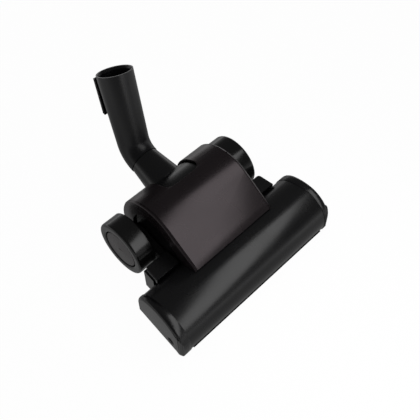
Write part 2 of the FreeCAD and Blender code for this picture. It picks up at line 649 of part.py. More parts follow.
# Turbine housing: the inner drum. Its rear face is the seat that the neck's shutter slides on
def make_turbine_housing():
    body = new_body("turbine_housing")
    front = "(back_y + wall + seat_gap)"
    floor = "(base_low + wall)"
    left = "(plate_outer - plate_thick)"

    def section(radius, front_at, low):
        return [
            (front_at, low),
            ("drum_y + sqrt((%s)^2 - (drum_z - (%s))^2)" % (radius, low), low, radius, "left"),
            drum_point(radius, "90") + (radius, "left"),
            (front_at, "drum_z + sqrt((%s)^2 - (drum_y - (%s))^2)" % (radius, front_at)),
        ]

    sketch = new_sketch(body, "YZ_Plane", "-" + left)
    outline(sketch, section("housing_radius", front, floor))
    pad(body, sketch, "%s + housing_right" % left)
    hollow = new_sketch(body, "YZ_Plane", "-%s - 1" % left)
    outline(hollow, section("housing_radius - wall", front + " + wall", floor + " + wall"))
    pocket(body, hollow, "%s + housing_right - wall + 1" % left, back=True)
    duct = new_sketch(body, "XZ_Plane", "-%s + 1" % front)
    rectangle(duct, "-duct_half", "duct_low", "duct_half", "duct_high")
    pocket(body, duct, "wall + 2")
    outlet = new_sketch(body, "YZ_Plane")
    outline(outlet, [("drum_y", "drum_z"), drum_point("housing_radius * 1.5", "port_low"),
                     drum_point("housing_radius * 1.5", "port_high")])
    pocket(body, outlet, "2 * port_half", middle=True)
    shaft = new_sketch(body, "YZ_Plane", "housing_right + 1")
    circle(shaft, "drum_y", "drum_z", "turbine_shaft_radius + 1")
    pocket(body, shaft, "wall + 2")


# Side plates: the cheeks of the drum under the cover, each with the seat of a turbine bearing
def make_side_plate(label, side):
    body = new_body(label)
    inner = "(plate_outer - plate_thick)"
    low = "(base_low + wall)"
    sketch = new_sketch(body, "YZ_Plane", "%d * %s" % (side, inner))
    front = "crown_y + 28"
    outline(sketch, [
        (front, low),
        ("drum_y + sqrt(plate_radius^2 - (drum_z - %s)^2)" % low, low, "plate_radius", "left"),
        drum_point("plate_radius", "90") + ("plate_radius", "left"),
        drum_point("plate_radius", "90 + apron_slope"),
        (front, apron_z(front, "plate_radius")),
    ])
    pad(body, sketch, "plate_thick", back=side < 0)
    clear = new_sketch(body, "YZ_Plane")
    outline(clear, hood_section("seat_gap", "-10"))
    pocket(body, clear, "3 * plate_outer", middle=True)
    wall_cut = new_sketch(body, "YZ_Plane")
    rectangle(wall_cut, "back_y - 10", "-10", "back_y + wall + seat_gap",
              drum_point("drum_radius", "cover_low")[1] + " + seat_gap")
    pocket(body, wall_cut, "3 * plate_outer", middle=True)
    boss = new_sketch(body, "YZ_Plane", "%d * %s" % (side, inner))
    circle(boss, "drum_y", "drum_z", "bearing_radius + wall")
    pad(body, boss, "bearing_width + 1 - plate_thick", back=side > 0)
    seat = new_sketch(body, "YZ_Plane", "%d * (plate_outer - 1)" % side)
    circle(seat, "drum_y", "drum_z", "bearing_radius")
    pocket(body, seat, "bearing_width + 2", back=side < 0)


# Turbine cover: the satin shell over the drum, running forward as an apron over the hood, with deep side
# flanges and the rounded window of the neck
def make_turbine_cover():
    body = new_body("turbine_cover")

    def band(radius, depth, front):
        low = drum_point(radius, "cover_low")
        return [
            drum_point("%s - (%s)" % (radius, depth), "cover_low"),
            low + (radius, "left"),
            drum_point(radius, "90") + (radius, "left"),
            drum_point(radius, "90 + apron_slope"),
            (front, apron_z(front, radius)),
            (front, apron_z(front, "%s - (%s)" % (radius, depth))),
            drum_point("%s - (%s)" % (radius, depth), "90 + apron_slope")
            + ("%s - (%s)" % (radius, depth), "right"),
            drum_point("%s - (%s)" % (radius, depth), "90") + ("%s - (%s)" % (radius, depth), "right"),
        ]

    sketch = new_sketch(body, "YZ_Plane")
    outline(sketch, band("drum_radius", "cover_flange", "apron_y"))
    pad(body, sketch, "cover_width", middle=True)
    hollow = new_sketch(body, "YZ_Plane")
    low = "(cover_low - 3)"
    radius = "(drum_radius - wall)"
    deep = "(drum_radius - cover_flange - 4)"
    lip = "apron_y + wall"
    outline(hollow, [
        drum_point(deep, low),
        drum_point(radius, low) + (radius, "left"),
        drum_point(radius, "90") + (radius, "left"),
        drum_point(radius, "90 + apron_slope"),
        (lip, apron_z(lip, radius)),
        (lip, apron_z(lip, deep)),
        drum_point(deep, "90 + apron_slope") + (deep, "right"),
        drum_point(deep, "90") + (deep, "right"),
    ])
    pocket(body, hollow, "2 * (plate_outer + seat_gap)", middle=True)
    clear = new_sketch(body, "YZ_Plane")
    outline(clear, hood_section("apron_gap", "-10"))
    pocket(body, clear, "2 * cover_width", middle=True)
    window = new_sketch(body, "YZ_Plane")
    outline(window, [("drum_y", "drum_z"), drum_point("drum_radius * 2", "cover_low - 5"),
                     drum_point("drum_radius * 2", "window_top")])
    pocket(body, window, "2 * window_half", middle=True)
    top = [size(text) for text in drum_point("drum_radius - wall / 2", "window_top")]
    soften(body, "Fillet", "window_round", lambda edge: abs(edge.Length - size("wall")) < 0.01
           and abs(abs(edge.CenterOfMass.x) - size("window_half")) < 0.01
           and math.hypot(edge.CenterOfMass.y - top[0], edge.CenterOfMass.z - top[1]) < 0.5)
    seam = new_sketch(body, "YZ_Plane", "cover_width / 2 - 2.2")
    outline(seam, band("(drum_radius + 1)", "1.5", "apron_y - 2"))
    groove = pocket(body, seam, "0.7", back=True)
    mirrored(body, groove)
    edge_x = size("cover_width / 2")

    def on_rim(point):
        ring = math.hypot(point.y - size("drum_y"), point.z - size("drum_z")) - size("drum_radius")
        line = point.z - size(apron_z(str(point.y), "drum_radius"))
        return min(abs(ring), abs(line)) < 0.05

    def rim(edge):
        span = edge.LastParameter - edge.FirstParameter
        return (edge.BoundBox.XLength < 0.01 and abs(abs(edge.CenterOfMass.x) - edge_x) < 0.01
                and all(on_rim(edge.valueAt(edge.FirstParameter + span * part)) for part in (0.25, 0.75)))

    soften(body, "Chamfer", "rim_edge", rim)


# Wheel axles: steel pins pressed into the brackets, each with a retaining clip beyond the hub
def make_axle(label, side):
    pin = doc.addObject("Part::Cylinder", label.title().replace("_", ""))
    pin.Label = label
    bind(pin, "Radius", "axle_radius")
    bind(pin, "Height", "wheel_outer - plate_outer - seat_gap - 4.2")
    lie = FreeCAD.Rotation(FreeCAD.Vector(0, side, 0), 90)
    pin.Placement = FreeCAD.Placement(FreeCAD.Vector(0, 0, 0), lie)
    bind(pin, ".Placement.Base.x", "origin_side + %d * (plate_outer + seat_gap)" % side)
    bind(pin, ".Placement.Base.y", "origin_shift + wheel_y")
    bind(pin, ".Placement.Base.z", "wheel_radius")
    PIECES.append(pin)


# Wheels: a moulded hub, a tyre that wraps its rim and outer face, and a satin hub cap.
# The section is drawn from the inner face outwards and turned about the axle
def wheel_body(label, side):
    return new_body(label, ("%d * (wheel_outer - wheel_width)" % side, "wheel_y", "wheel_radius"))


def turned(body, side, corners):
    sketch = new_sketch(body, "XY_Plane")
    outline(sketch, sided(corners, side))
    return revolve(body, sketch)


def make_wheel(prefix, side):
    rim = "(wheel_radius - tyre_depth)"
    rim_in = "(wheel_radius - tyre_depth - rim_thick)"
    bore = "(axle_radius + running_gap)"
    face = "(wheel_width - 4)"
    hub = wheel_body(prefix + "_wheel_hub", side)
    turned(hub, side, [
        ("-1", bore), ("wheel_width - 5.4", bore), ("wheel_width - 5.4", "boss_radius"),
        ("13", "boss_radius"), ("13", rim_in), (face, rim_in), (face, rim), ("1", rim), ("1", rim_in),
        ("10.4", rim_in), ("10.4", "boss_radius"), ("-1", "boss_radius"),
    ])
    rib = new_sketch(hub, "XZ_Plane")
    near, far = sorted([2.4 * side, 10.8 * side])
    rectangle(rib, near, "boss_radius - 0.5", far, rim_in + " + 0.5")
    web = pad(hub, rib, "1.8", middle=True)
    polar_pattern(hub, web, "X_Axis", "6")
    tyre = wheel_body(prefix + "_wheel_tyre", side)
    turned(tyre, side, [
        ("0.6", rim), (face, rim), (face, "face_ring"), ("wheel_width - 0.8", "face_ring"),
        ("wheel_width", "face_ring + 2"), ("wheel_width", "wheel_radius - tyre_shoulder"),
        ("wheel_width - 0.3 * tyre_shoulder", "wheel_radius - 0.3 * tyre_shoulder"),
        ("wheel_width - tyre_shoulder", "wheel_radius"), ("1.6", "wheel_radius"), ("0.6", "wheel_radius - 1"),
    ])
    cap = wheel_body(prefix + "_hub_cap", side)
    turned(cap, side, [
        ("wheel_width - 5.4", "boss_radius - 1.8"), ("wheel_width - 5.4", "boss_radius"),
        ("wheel_width - hub_cap_thick - 1", "boss_radius"),
        ("wheel_width - hub_cap_thick - 1", "hub_cap_radius"), ("wheel_width - 1.6", "hub_cap_radius"),
        ("wheel_width - 1", "hub_cap_radius - 0.6"), ("wheel_width - 0.4", "0"),
        ("wheel_width - hub_cap_thick - 1", "0"), ("wheel_width - hub_cap_thick - 1", "boss_radius - 1.8"),
    ])


LYING = FreeCAD.Rotation(FreeCAD.Vector(0, 1, 0), 90)


# Brush roll: the core with a seat for its pulley, the pulley, the steel shaft and the helical bristle rows
def make_brush_roll():
    at = ("head_x", "roll_y", "roll_z")
    pulley_half = "(belt_width / 2 + 0.4 + flange_thick)"
    seat = "(core_radius * 0.6)"
    core = new_body("brush_core", at)
    half = "roll_length / 2"
    sketch = new_sketch(core, "XY_Plane")
    outline(sketch, [
        ("-" + half, "roll_shaft_radius"), (half, "roll_shaft_radius"), (half, "core_radius - 2"),
        (half + " - 2", "core_radius"), (BELT_ON_HEAD + " + " + pulley_half, "core_radius"),
        (BELT_ON_HEAD + " + " + pulley_half, seat), (BELT_ON_HEAD + " - " + pulley_half, seat),
        (BELT_ON_HEAD + " - " + pulley_half, "core_radius"), ("-%s + 2" % half, "core_radius"),
        ("-" + half, "core_radius - 2"),
    ])
    revolve(core, sketch)
    make_pulley("brush_pulley", ("0", "roll_y", "roll_z"), seat, "roll_pulley_radius")
    shaft = doc.addObject("Part::Cylinder", "BrushShaft")
    shaft.Label = "brush_shaft"
    bind(shaft, "Radius", "roll_shaft_radius")
    bind(shaft, "Height", "hood_length - 1")
    shaft.Placement = FreeCAD.Placement(FreeCAD.Vector(0, 0, 0), LYING)
    bind(shaft, ".Placement.Base.x", "origin_side + head_x - (hood_length - 1) / 2")
    bind(shaft, ".Placement.Base.y", "origin_shift + roll_y")
    bind(shaft, ".Placement.Base.z", "roll_z")
    PIECES.append(shaft)


# A flat belt pulley with two flanges and a slightly crowned running face
def make_pulley(label, at, bore, radius):
    body = new_body(label, at)
    run = "(belt_width / 2 + 0.4)"
    rim = "(%s + flange_height)" % radius
    sketch = new_sketch(body, "XY_Plane")
    outline(sketch, [
        ("belt_x - %s - flange_thick" % run, bore), ("belt_x + %s + flange_thick" % run, bore),
        ("belt_x + %s + flange_thick" % run, rim), ("belt_x + %s" % run, rim),
        ("belt_x + %s" % run, "%s - 0.2" % radius), ("belt_x", radius),
        ("belt_x - %s" % run, "%s - 0.2" % radius),
        ("belt_x - %s" % run, rim), ("belt_x - %s - flange_thick" % run, rim),
    ])
    revolve(body, sketch)


# Two helical rows of bristle tufts, each tuft set 3 mm deep in the core; the rows leave the pulley free
def make_bristles():
    tufts = []
    root = size("core_radius") - 3
    reach = size("bristle_reach")
    clear = size("belt_width / 2 + 0.4 + flange_thick + tuft_radius + 1.5")
    end = size("roll_length / 2 - 5")
    count = int(2 * end / size("tuft_pitch"))
    thick = size("tuft_radius")
    ring = [FreeCAD.Vector(thick * math.cos(math.radians(60 * corner)),
                           thick * math.sin(math.radians(60 * corner)), root) for corner in range(7)]
    for row in range(2):
        for step in range(count + 1):
            x = -end + 2 * end * step / count
            if abs(x - size(BELT_ON_HEAD)) < clear:
                continue
            turn = 180.0 * row + 300.0 * abs(x) / end
            solid = Part.Face(Part.makePolygon(ring)).extrude(FreeCAD.Vector(0, 0, reach - root))
            solid.rotate(FreeCAD.Vector(0, 0, 0), FreeCAD.Vector(1, 0, 0), turn)
            solid.translate(FreeCAD.Vector(x, 0, 0))
            tufts.append(solid)
    rows = doc.addObject("Part::Feature", "BrushBristles")
    rows.Label = "brush_bristles"
    rows.Shape = Part.makeCompound(tufts)
    axis = FreeCAD.Vector(size("origin_side + head_x"), size("origin_shift + roll_y"), size("roll_z"))
    rows.Placement = FreeCAD.Placement(axis, FreeCAD.Rotation())
    PIECES.append(rows)


# Turned rings: the bushes of the brush roll and the ball bearings of the turbine
def make_ring(label, start, width, y, z, inner, outer):
    body = new_body(label, (start, y, z))
    sketch = new_sketch(body, "YZ_Plane")
    circle(sketch, "0", "0", outer)
    circle(sketch, "0", "0", inner)
    pad(body, sketch, width)


# Turbine wheel: two end discs on a hub, joined by curved blades
def make_turbine():
    at = ("0", "drum_y", "drum_z")
    hub = "(turbine_shaft_radius + 5)"
    body = new_body("turbine_wheel", at)
    sketch = new_sketch(body, "XY_Plane")
    rim = "turbine_radius"
    half = "turbine_half"
    outline(sketch, [
        ("-" + half, "turbine_shaft_radius"), (half, "turbine_shaft_radius"), (half, rim),
        (half + " - 1.6", rim), (half + " - 1.6", hub), ("-%s + 1.6" % half, hub), ("-%s + 1.6" % half, rim),
        ("-" + half, rim),
    ])
    revolve(body, sketch)
    blade = new_sketch(body, "YZ_Plane")
    inner = "(%s - 0.5)" % hub
    bow = "(turbine_radius * 0.62)"
    outline(blade, [
        ("0", inner, bow, "right"),
        ("turbine_radius * 0.3", "turbine_radius * 0.94"),
        ("turbine_radius * 0.3 + 1.3", "turbine_radius * 0.925", bow + " - 1.4", "left"),
        ("1.6", inner),
    ])
    vane = pad(body, blade, "2 * (turbine_half - 1)", middle=True)
    polar_pattern(body, vane, "X_Axis", "turbine_blades")
    shaft = doc.addObject("Part::Cylinder", "TurbineShaft")
    shaft.Label = "turbine_shaft"
    bind(shaft, "Radius", "turbine_shaft_radius")
    bind(shaft, "Height", "2 * (plate_outer - 1.3)")
    shaft.Placement = FreeCAD.Placement(FreeCAD.Vector(0, 0, 0), LYING)
    bind(shaft, ".Placement.Base.x", "origin_side - (plate_outer - 1.3)")
    bind(shaft, ".Placement.Base.y", "origin_shift + drum_y")
    bind(shaft, ".Placement.Base.z", "drum_z")
    PIECES.append(shaft)
    make_pulley("turbine_pulley", at, "turbine_shaft_radius", "turbine_pulley_radius")


# Drive belt: a flat loop around both pulleys, clear of their running faces by the moving gap
def make_belt():
    body = new_body("drive_belt")
    run_y = "(drum_y - roll_y)"
    run_z = "(drum_z - roll_z)"
    apart = "sqrt(%s^2 + %s^2)" % (run_y, run_z)
    lean = "atan(%s / %s)" % (run_z, run_y)
    wrap = "acos((roll_pulley_radius - turbine_pulley_radius) / %s)" % apart

    def loop(grow):
        large = "(roll_pulley_radius + fit_gap + %s)" % grow
        small = "(turbine_pulley_radius + fit_gap + %s)" % grow

        def at(y, z, radius, angle):
            return ("%s + %s * cos(%s)" % (y, radius, angle), "%s + %s * sin(%s)" % (z, radius, angle))

        return [
            at("drum_y", "drum_z", small, "%s - %s" % (lean, wrap)) + (small, "left"),
            at("drum_y", "drum_z", small, lean) + (small, "left"),
            at("drum_y", "drum_z", small, "%s + %s" % (lean, wrap)),
            at("roll_y", "roll_z", large, "%s + %s" % (lean, wrap)) + (large, "left"),
            at("roll_y", "roll_z", large, "%s + 180 deg" % lean) + (large, "left"),
            at("roll_y", "roll_z", large, "%s - %s" % (lean, wrap)),
        ]

    sketch = new_sketch(body, "YZ_Plane", "belt_x")
    outline(sketch, loop("belt_thick"))
    outline(sketch, loop("0"))
    pad(body, sketch, "belt_width", middle=True)


# Neck: a curved shutter that slides round the turbine housing and the tapered collar that leaves it.
# It is drawn about the drum axis with its own axis level, then tilted to the stored pitch
def tilted(body, swing="0"):
    tilt = FreeCAD.Rotation(FreeCAD.Vector(1, 0, 0), size("neck_pitch"))
    turn = FreeCAD.Rotation(FreeCAD.Vector(0, 1, 0), size(swing))
    place = FreeCAD.Placement(FreeCAD.Vector(0, 0, 0), tilt * turn)
    body.Placement = place
    bind(body, ".Placement.Base.x", "origin_side")
    bind(body, ".Placement.Base.y", "origin_shift + drum_y")
    bind(body, ".Placement.Base.z", "drum_z")


def make_neck():
    body = new_body("neck_collar")
    tilted(body)
    inner = "(housing_radius + fit_gap)"
    outer = "(%s + saddle_thick)" % inner
    seat = "(collar_reach - collar_seat)"
    sketch = new_sketch(body, "YZ_Plane")
    outline(sketch, [("%s - 6" % inner, "0"), ("collar_reach", "0"), ("collar_reach", "collar_end"),
                     ("%s - 6" % outer, "collar_root")])
    revolve(body, sketch)
    core = new_sketch(body, "YZ_Plane")
    circle(core, "0", "0", inner)
    pocket(body, core, "3 * collar_root", middle=True)
    shutter = new_sketch(body, "YZ_Plane")

    def ring(radius, angle):
        return ("%s * cos(%s)" % (radius, angle), "%s * sin(%s)" % (radius, angle))

    outline(shutter, [
        ring(inner, "-saddle_below"),
        ring(outer, "-saddle_below") + (outer, "left"),
        ring(outer, "saddle_above / 2") + (outer, "left"),
        ring(outer, "saddle_above"),
        ring(inner, "saddle_above") + (inner, "right"),
        ring(inner, "saddle_above / 2") + (inner, "right"),
    ])
    pad(body, shutter, "2 * saddle_half", middle=True)
    bore = new_sketch(body, "YZ_Plane")
    groove = "(collar_reach - collar_seat / 2)"
    outline(bore, [("%s - 8" % inner, "0"), ("collar_reach + 1", "0"), ("collar_reach + 1", "collar_bore"),
                   (groove + " + 0.9", "collar_bore"), (groove + " + 0.9", "collar_bore + 0.8"),
                   (groove + " - 0.9", "collar_bore + 0.8"), (groove + " - 0.9", "collar_bore"),
                   (seat, "collar_bore"), (seat, "collar_bore - 1.2"),
                   ("%s - 8" % inner, "collar_root - 3.4")])
    revolve(body, bore, groove=True)
    window = new_sketch(body, "YZ_Plane", "-collar_end - 1")
    rectangle(window, "collar_reach - 12", "-2.4", "collar_reach - 9", "2.4")
    pocket(body, window, "wall + 3", back=True)


# Elbow: the bend, the straight wand socket and the parking rail on its back, in one moulding
SPIGOT = "(collar_bore - running_gap)"


def make_elbow():
    body = new_body("elbow_tube")
    tilted(body, "elbow_swing")
    start = "(collar_reach + fit_gap)"
    bend_y = "%s + elbow_radius * sin(elbow_turn)" % start
    bend_z = "elbow_radius * (1 - cos(elbow_turn))"
    bend = new_sketch(body, "XZ_Plane", "-" + start, upward="elbow_radius")
    circle(bend, "0", "-elbow_radius", "elbow_tube")
    revolve(body, bend, angle="elbow_turn")
    tube = new_sketch(body, "YZ_Plane", across=bend_y, upward=bend_z, turn="elbow_turn")
    outline(tube, [("0", "0"), ("tube_length", "0"), ("tube_length", "socket_outer"), ("0", "elbow_tube")])
    revolve(body, tube)
    rail_from = "(tube_length - rail_start - rail_length)"
    rail_to = "(tube_length - rail_start)"
    rail_top = "(-socket_outer - rail_height)"
    stem = [(rail_to, "-elbow_tube + 3"), (rail_from + " - 7", "-elbow_tube + 3"), (rail_from, rail_top),
            (rail_to, rail_top)]
    head = [(rail_to, rail_top + " + wall"), (rail_from + " - 2.6", rail_top + " + wall"),
            (rail_from, rail_top), (rail_to, rail_top)]
    for width, corners in (("rail_half", stem), ("2 * rail_half", head)):
        rail = new_sketch(body, "YZ_Plane", across=bend_y, upward=bend_z, turn="elbow_turn", roll="rail_turn")
        outline(rail, corners)
        pad(body, rail, width, middle=True)
    hollow = new_sketch(body, "XZ_Plane", "-" + start, upward="elbow_radius")
    circle(hollow, "0", "-elbow_radius", "elbow_tube - tube_wall")
    revolve(body, hollow, angle="elbow_turn", groove=True)
    bore = new_sketch(body, "YZ_Plane", across=bend_y, upward=bend_z, turn="elbow_turn")
    seat = "(tube_length - socket_depth - socket_lead)"
    outline(bore, [
        ("0", "0"), ("tube_length + 1", "0"), ("tube_length + 1", "socket_bore + socket_lead"),
        ("tube_length", "socket_bore + socket_lead"), ("tube_length - 2 * socket_lead", "socket_bore"),
        (seat, "socket_bore"), (seat, "elbow_tube - tube_wall"), ("0", "elbow_tube - tube_wall"),
    ])
    revolve(body, bore, groove=True)
    lower = new_sketch(body, "YZ_Plane")
    outline(lower, [(start, SPIGOT + " - 3"), (start + " + wall", SPIGOT + " - 3"),
                    (start + " + wall", "elbow_tube - 0.6"), (start, "elbow_tube - 0.6")])
    revolve(body, lower)


# Spigot: the sleeve welded to the elbow's lower face, which turns in the neck, with a groove for the ring
def make_elbow_spigot():
    body = new_body("elbow_spigot")
    tilted(body, "elbow_swing")
    start = "(collar_reach + fit_gap)"
    tail = "(collar_reach - collar_seat + fit_gap)"
    groove = "(collar_reach - collar_seat / 2)"
    sketch = new_sketch(body, "YZ_Plane")
    outline(sketch, [
        (tail, SPIGOT + " - 3"), (start, SPIGOT + " - 3"), (start, SPIGOT), (groove + " + 1.2", SPIGOT),
        (groove + " + 1.2", SPIGOT + " - 1.3"), (groove + " - 1.2", SPIGOT + " - 1.3"),
        (groove + " - 1.2", SPIGOT), (tail, SPIGOT),
    ])
    revolve(body, sketch)


# Swivel ring: the ring that is sprung into the neck and runs in the groove of the elbow's spigot
def make_swivel_ring():
    body = new_body("swivel_ring")
    tilted(body)
    groove = "(collar_reach - collar_seat / 2)"
    inner = "(collar_bore - 1)"
    sketch = new_sketch(body, "YZ_Plane")
    outline(sketch, [(groove + " - 0.9", inner), (groove + " + 0.9", inner),
                     (groove + " + 0.9", "collar_bore + 0.8"), (groove + " - 0.9", "collar_bore + 0.8")])
    revolve(body, sketch)


# Rollers under the sole, each on a pin held between two ears
def make_roller(prefix, side):
    at = ("head_x + %d * roller_x" % side, "roller_y", "roller_radius")
    body = new_body(prefix + "_roller", at)
    sketch = new_sketch(body, "XY_Plane")
    bore = "(roller_pin + running_gap)"
    outline(sketch, [
        ("-roller_half", bore), ("roller_half", bore), ("roller_half", "roller_radius - 1"),
        ("roller_half - 1", "roller_radius"), ("-roller_half + 1", "roller_radius"),
        ("-roller_half", "roller_radius - 1"),
    ])
    revolve(body, sketch)
    pin = new_body(prefix + "_roller_pin", at)
    face = new_sketch(pin, "YZ_Plane", "-(roller_half + 2.4)")
    circle(face, "0", "0", "roller_pin")
    pad(pin, face, "2 * (roller_half + 2.4)")


# Identical screws share one piece: each is a pan head with a cross recess on a plain shank.
# Places are (x, y, z of the head's underside, direction of the shank)
def make_screws(label, places):
    head = size("screw_head")
    high = size("screw_head_high")
    long = size("screw_length")
    screws = []
    for x, y, z, way in places:
        shank = Part.makeCylinder(size("screw_shank"), long, FreeCAD.Vector(0, 0, -long))
        screw = Part.makeCylinder(head, high).fuse(shank)
        for turn in (0, 90):
            slot = Part.makeBox(head * 1.3, 0.9, 1.2, FreeCAD.Vector(-head * 0.65, -0.45, high - 1.1))
            slot.rotate(FreeCAD.Vector(0, 0, 0), FreeCAD.Vector(0, 0, 1), turn)
            screw = screw.cut(slot)
        out = FreeCAD.Vector(-way[0], -way[1], -way[2])
        screw.Placement = FreeCAD.Placement(FreeCAD.Vector(size(x), size(y), size(z)),
                                            FreeCAD.Rotation(FreeCAD.Vector(0, 0, 1), out))
        screws.append(screw)
    group = doc.addObject("Part::Feature", label.title().replace("_", ""))
    group.Label = label
    group.Shape = Part.makeCompound(screws)
    place = FreeCAD.Vector(size("origin_side"), size("origin_shift"), 0)
    group.Placement = FreeCAD.Placement(place, FreeCAD.Rotation())
    PIECES.append(group)


def make_fasteners():
    cap_face = "(brush_width / 2 + 1 - 4.4)"
    make_screws("cap_screws", [
        ("head_x + %d * %s" % (side, cap_face), "roll_y - 11", "roll_z - 9", (-side, 0, 0))
        for side in (-1, 1)])
    make_screws("sole_screws", [
        ("head_x + %d * (mouth_half + 6.5)" % side, place, "floor_gap - 1 + screw_head_high + 1.4", (0, 0, 1))
        for side in (-1, 1) for place in ("mouth_front + 6", "mouth_rear + 3")])


def make_all():
    make_brush_hood()
    make_end_cap("left_end_cap", -1)
    make_end_cap("right_end_cap", 1)
    make_sole_plate()
    make_front_bumper()
    make_belt_guard()
    make_chassis()
    make_arm_cover("left_arm_cover", -1)
    make_arm_cover("right_arm_cover", 1)
    make_turbine_housing()
    make_side_plate("left_side_plate", -1)
    make_side_plate("right_side_plate", 1)
    make_turbine_cover()
    make_axle("left_axle", -1)
    make_axle("right_axle", 1)
    make_wheel("left", -1)
    make_wheel("right", 1)
    make_brush_roll()
    make_bristles()
    make_turbine()
    make_belt()
    make_neck()
    make_elbow()
    make_elbow_spigot()
    make_swivel_ring()
    make_roller("left", -1)
    make_roller("right", 1)
    make_fasteners()
    for prefix, side in (("left", -1), ("right", 1)):
        inner = ("(head_x + %d * (hood_length / 2 - roll_bearing_width) - %d * roll_bearing_width)"
                 % (side, side < 0))
        make_ring(prefix + "_roll_bush", inner, "roll_bearing_width", "roll_y", "roll_z",
                  "roll_shaft_radius + running_gap", "roll_bearing_radius")
        start = "(%d * (plate_outer - 1) - %d * bearing_width)" % (side, side > 0)
        make_ring(prefix + "_turbine_bearing", start, "bearing_width", "drum_y", "drum_z",
                  "turbine_shaft_radius + running_gap", "bearing_radius")
        clip = "(%d * (wheel_outer - 5.1) - %d * clip_thick)" % (side, side < 0)
        make_ring(prefix + "_axle_clip", clip, "clip_thick", "wheel_y", "wheel_radius", "axle_radius",
                  "clip_radius")


make_all()
doc.recompute()
for thing in doc.Objects:
    if "Invalid" in thing.State or "Error" in thing.State:
        raise RuntimeError("%s failed: %s" % (thing.Label, thing.State))
os.makedirs("parts", exist_ok=True)
for piece in PIECES:
    if piece.Shape.isNull() or not piece.Shape.isValid():
        raise RuntimeError(piece.Label + " has no valid shape")
    piece.Shape.exportStep("parts/%s.step" % piece.Label)
    print("%-18s %2d solids %10.1f mm3" % (piece.Label, len(piece.Shape.Solids), piece.Shape.Volume))
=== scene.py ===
import math

import bmesh
import bpy
from mathutils import Matrix, Vector


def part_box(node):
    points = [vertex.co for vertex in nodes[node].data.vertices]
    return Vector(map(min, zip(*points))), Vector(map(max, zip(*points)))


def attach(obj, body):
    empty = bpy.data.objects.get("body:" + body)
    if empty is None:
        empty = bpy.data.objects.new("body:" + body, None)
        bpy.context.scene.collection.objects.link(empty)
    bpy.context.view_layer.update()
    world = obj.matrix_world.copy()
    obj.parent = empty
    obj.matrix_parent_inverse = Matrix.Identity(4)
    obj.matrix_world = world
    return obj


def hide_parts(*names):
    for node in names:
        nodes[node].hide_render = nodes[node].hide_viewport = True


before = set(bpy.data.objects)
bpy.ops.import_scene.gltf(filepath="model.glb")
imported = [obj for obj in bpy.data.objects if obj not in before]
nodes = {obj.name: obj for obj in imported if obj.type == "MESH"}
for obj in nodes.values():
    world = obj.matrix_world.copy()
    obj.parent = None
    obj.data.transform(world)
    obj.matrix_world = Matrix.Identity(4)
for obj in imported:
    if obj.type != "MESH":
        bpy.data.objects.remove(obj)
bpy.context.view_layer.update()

bpy.ops.object.select_all(action="DESELECT")


# The studio: a sheet of matt white paper in a room with a white horizon and a dim ceiling. The camera sees
# the paper and the room as white. Glossy surfaces see the paper too, with a painted shade on it that dims its
# glow to three tenths close to the object and leaves it white further off, and the floor keeps a shadow.
def linear(hex_code):
    channels = [int(hex_code[place:place + 2], 16) / 255 for place in (1, 3, 5)]
    return [c / 12.92 if c <= 0.04045 else ((c + 0.055) / 1.055) ** 2.4 for c in channels] + [1.0]


def add_node(tree, kind, settings=None, links=None):
    node = tree.nodes.new(kind)
    for name, value in (settings or {}).items():
        if isinstance(name, str) and hasattr(node, name):
            setattr(node, name, value)
        else:
            node.inputs[name].default_value = value
    for name, (source, output) in (links or {}).items():
        tree.links.new(source.outputs[output], node.inputs[name])
    return node


def new_material(name):
    material = bpy.data.materials.new(name)
    material.use_nodes = True
    material.node_tree.nodes.clear()
    return material, material.node_tree


white = (1, 1, 1, 1)
paper_colour = "#f4f4f4"
paper_seen = 0.97
paper_size = 6.0
paper_drop = 0.0002
# Painted shade on the paper, seen only in reflections: its glow rises from three tenths near the object to
# white further off.
painted_shade_near = 0.12
painted_shade_far = 0.75
painted_shade_level = 0.3

paper, tree = new_material("matt_white_paper")
sheet = add_node(tree, "ShaderNodeBsdfDiffuse", {"Color": linear(paper_colour)})
lit = add_node(tree, "ShaderNodeEmission", {"Color": white, "Strength": 1.0})
where = add_node(tree, "ShaderNodeTexCoord")
far = add_node(tree, "ShaderNodeVectorMath", {"operation": "LENGTH"}, {0: (where, "Object")})
# Painted shade: the glow that glossy rays see is dimmed by distance from the object, standing in for its
# shadow.
painted_shade_ramp = add_node(tree, "ShaderNodeMapRange",
                   {"interpolation_type": "SMOOTHSTEP", "From Min": painted_shade_near, "From Max": painted_shade_far,
                    "To Min": painted_shade_level, "To Max": 1.0}, {"Value": (far, "Value")})
mirrored = add_node(tree, "ShaderNodeEmission", {"Color": white}, {"Strength": (painted_shade_ramp, 0)})
path = add_node(tree, "ShaderNodeLightPath")
reflected = add_node(tree, "ShaderNodeMath", {"operation": "MAXIMUM"},
                     {0: (path, "Is Glossy Ray"), 1: (path, "Is Transmission Ray")})
in_plastic = add_node(tree, "ShaderNodeMixShader", links={0: (reflected, 0), 1: (sheet, 0), 2: (mirrored, 0)})
direct = add_node(tree, "ShaderNodeMath", {"operation": "MULTIPLY", 1: paper_seen},
                  {0: (path, "Is Camera Ray")})
mixed = add_node(tree, "ShaderNodeMixShader", links={0: (direct, 0), 1: (in_plastic, 0), 2: (lit, 0)})
facing = add_node(tree, "ShaderNodeNewGeometry")
clear = add_node(tree, "ShaderNodeBsdfTransparent")
one_sided = add_node(tree, "ShaderNodeMixShader",
                     links={0: (facing, "Backfacing"), 1: (mixed, 0), 2: (clear, 0)})
add_node(tree, "ShaderNodeOutputMaterial", links={"Surface": (one_sided, 0)})

bpy.ops.mesh.primitive_plane_add(size=paper_size, location=(0, 0, -paper_drop))
floor = bpy.context.object
floor.name = "paper_floor"
floor.data.materials.append(paper)

horizon_height = 0.02
ceiling_height = 0.3
horizon_strength = 0.45
ceiling_strength = 0.1
room_strength = 0.5

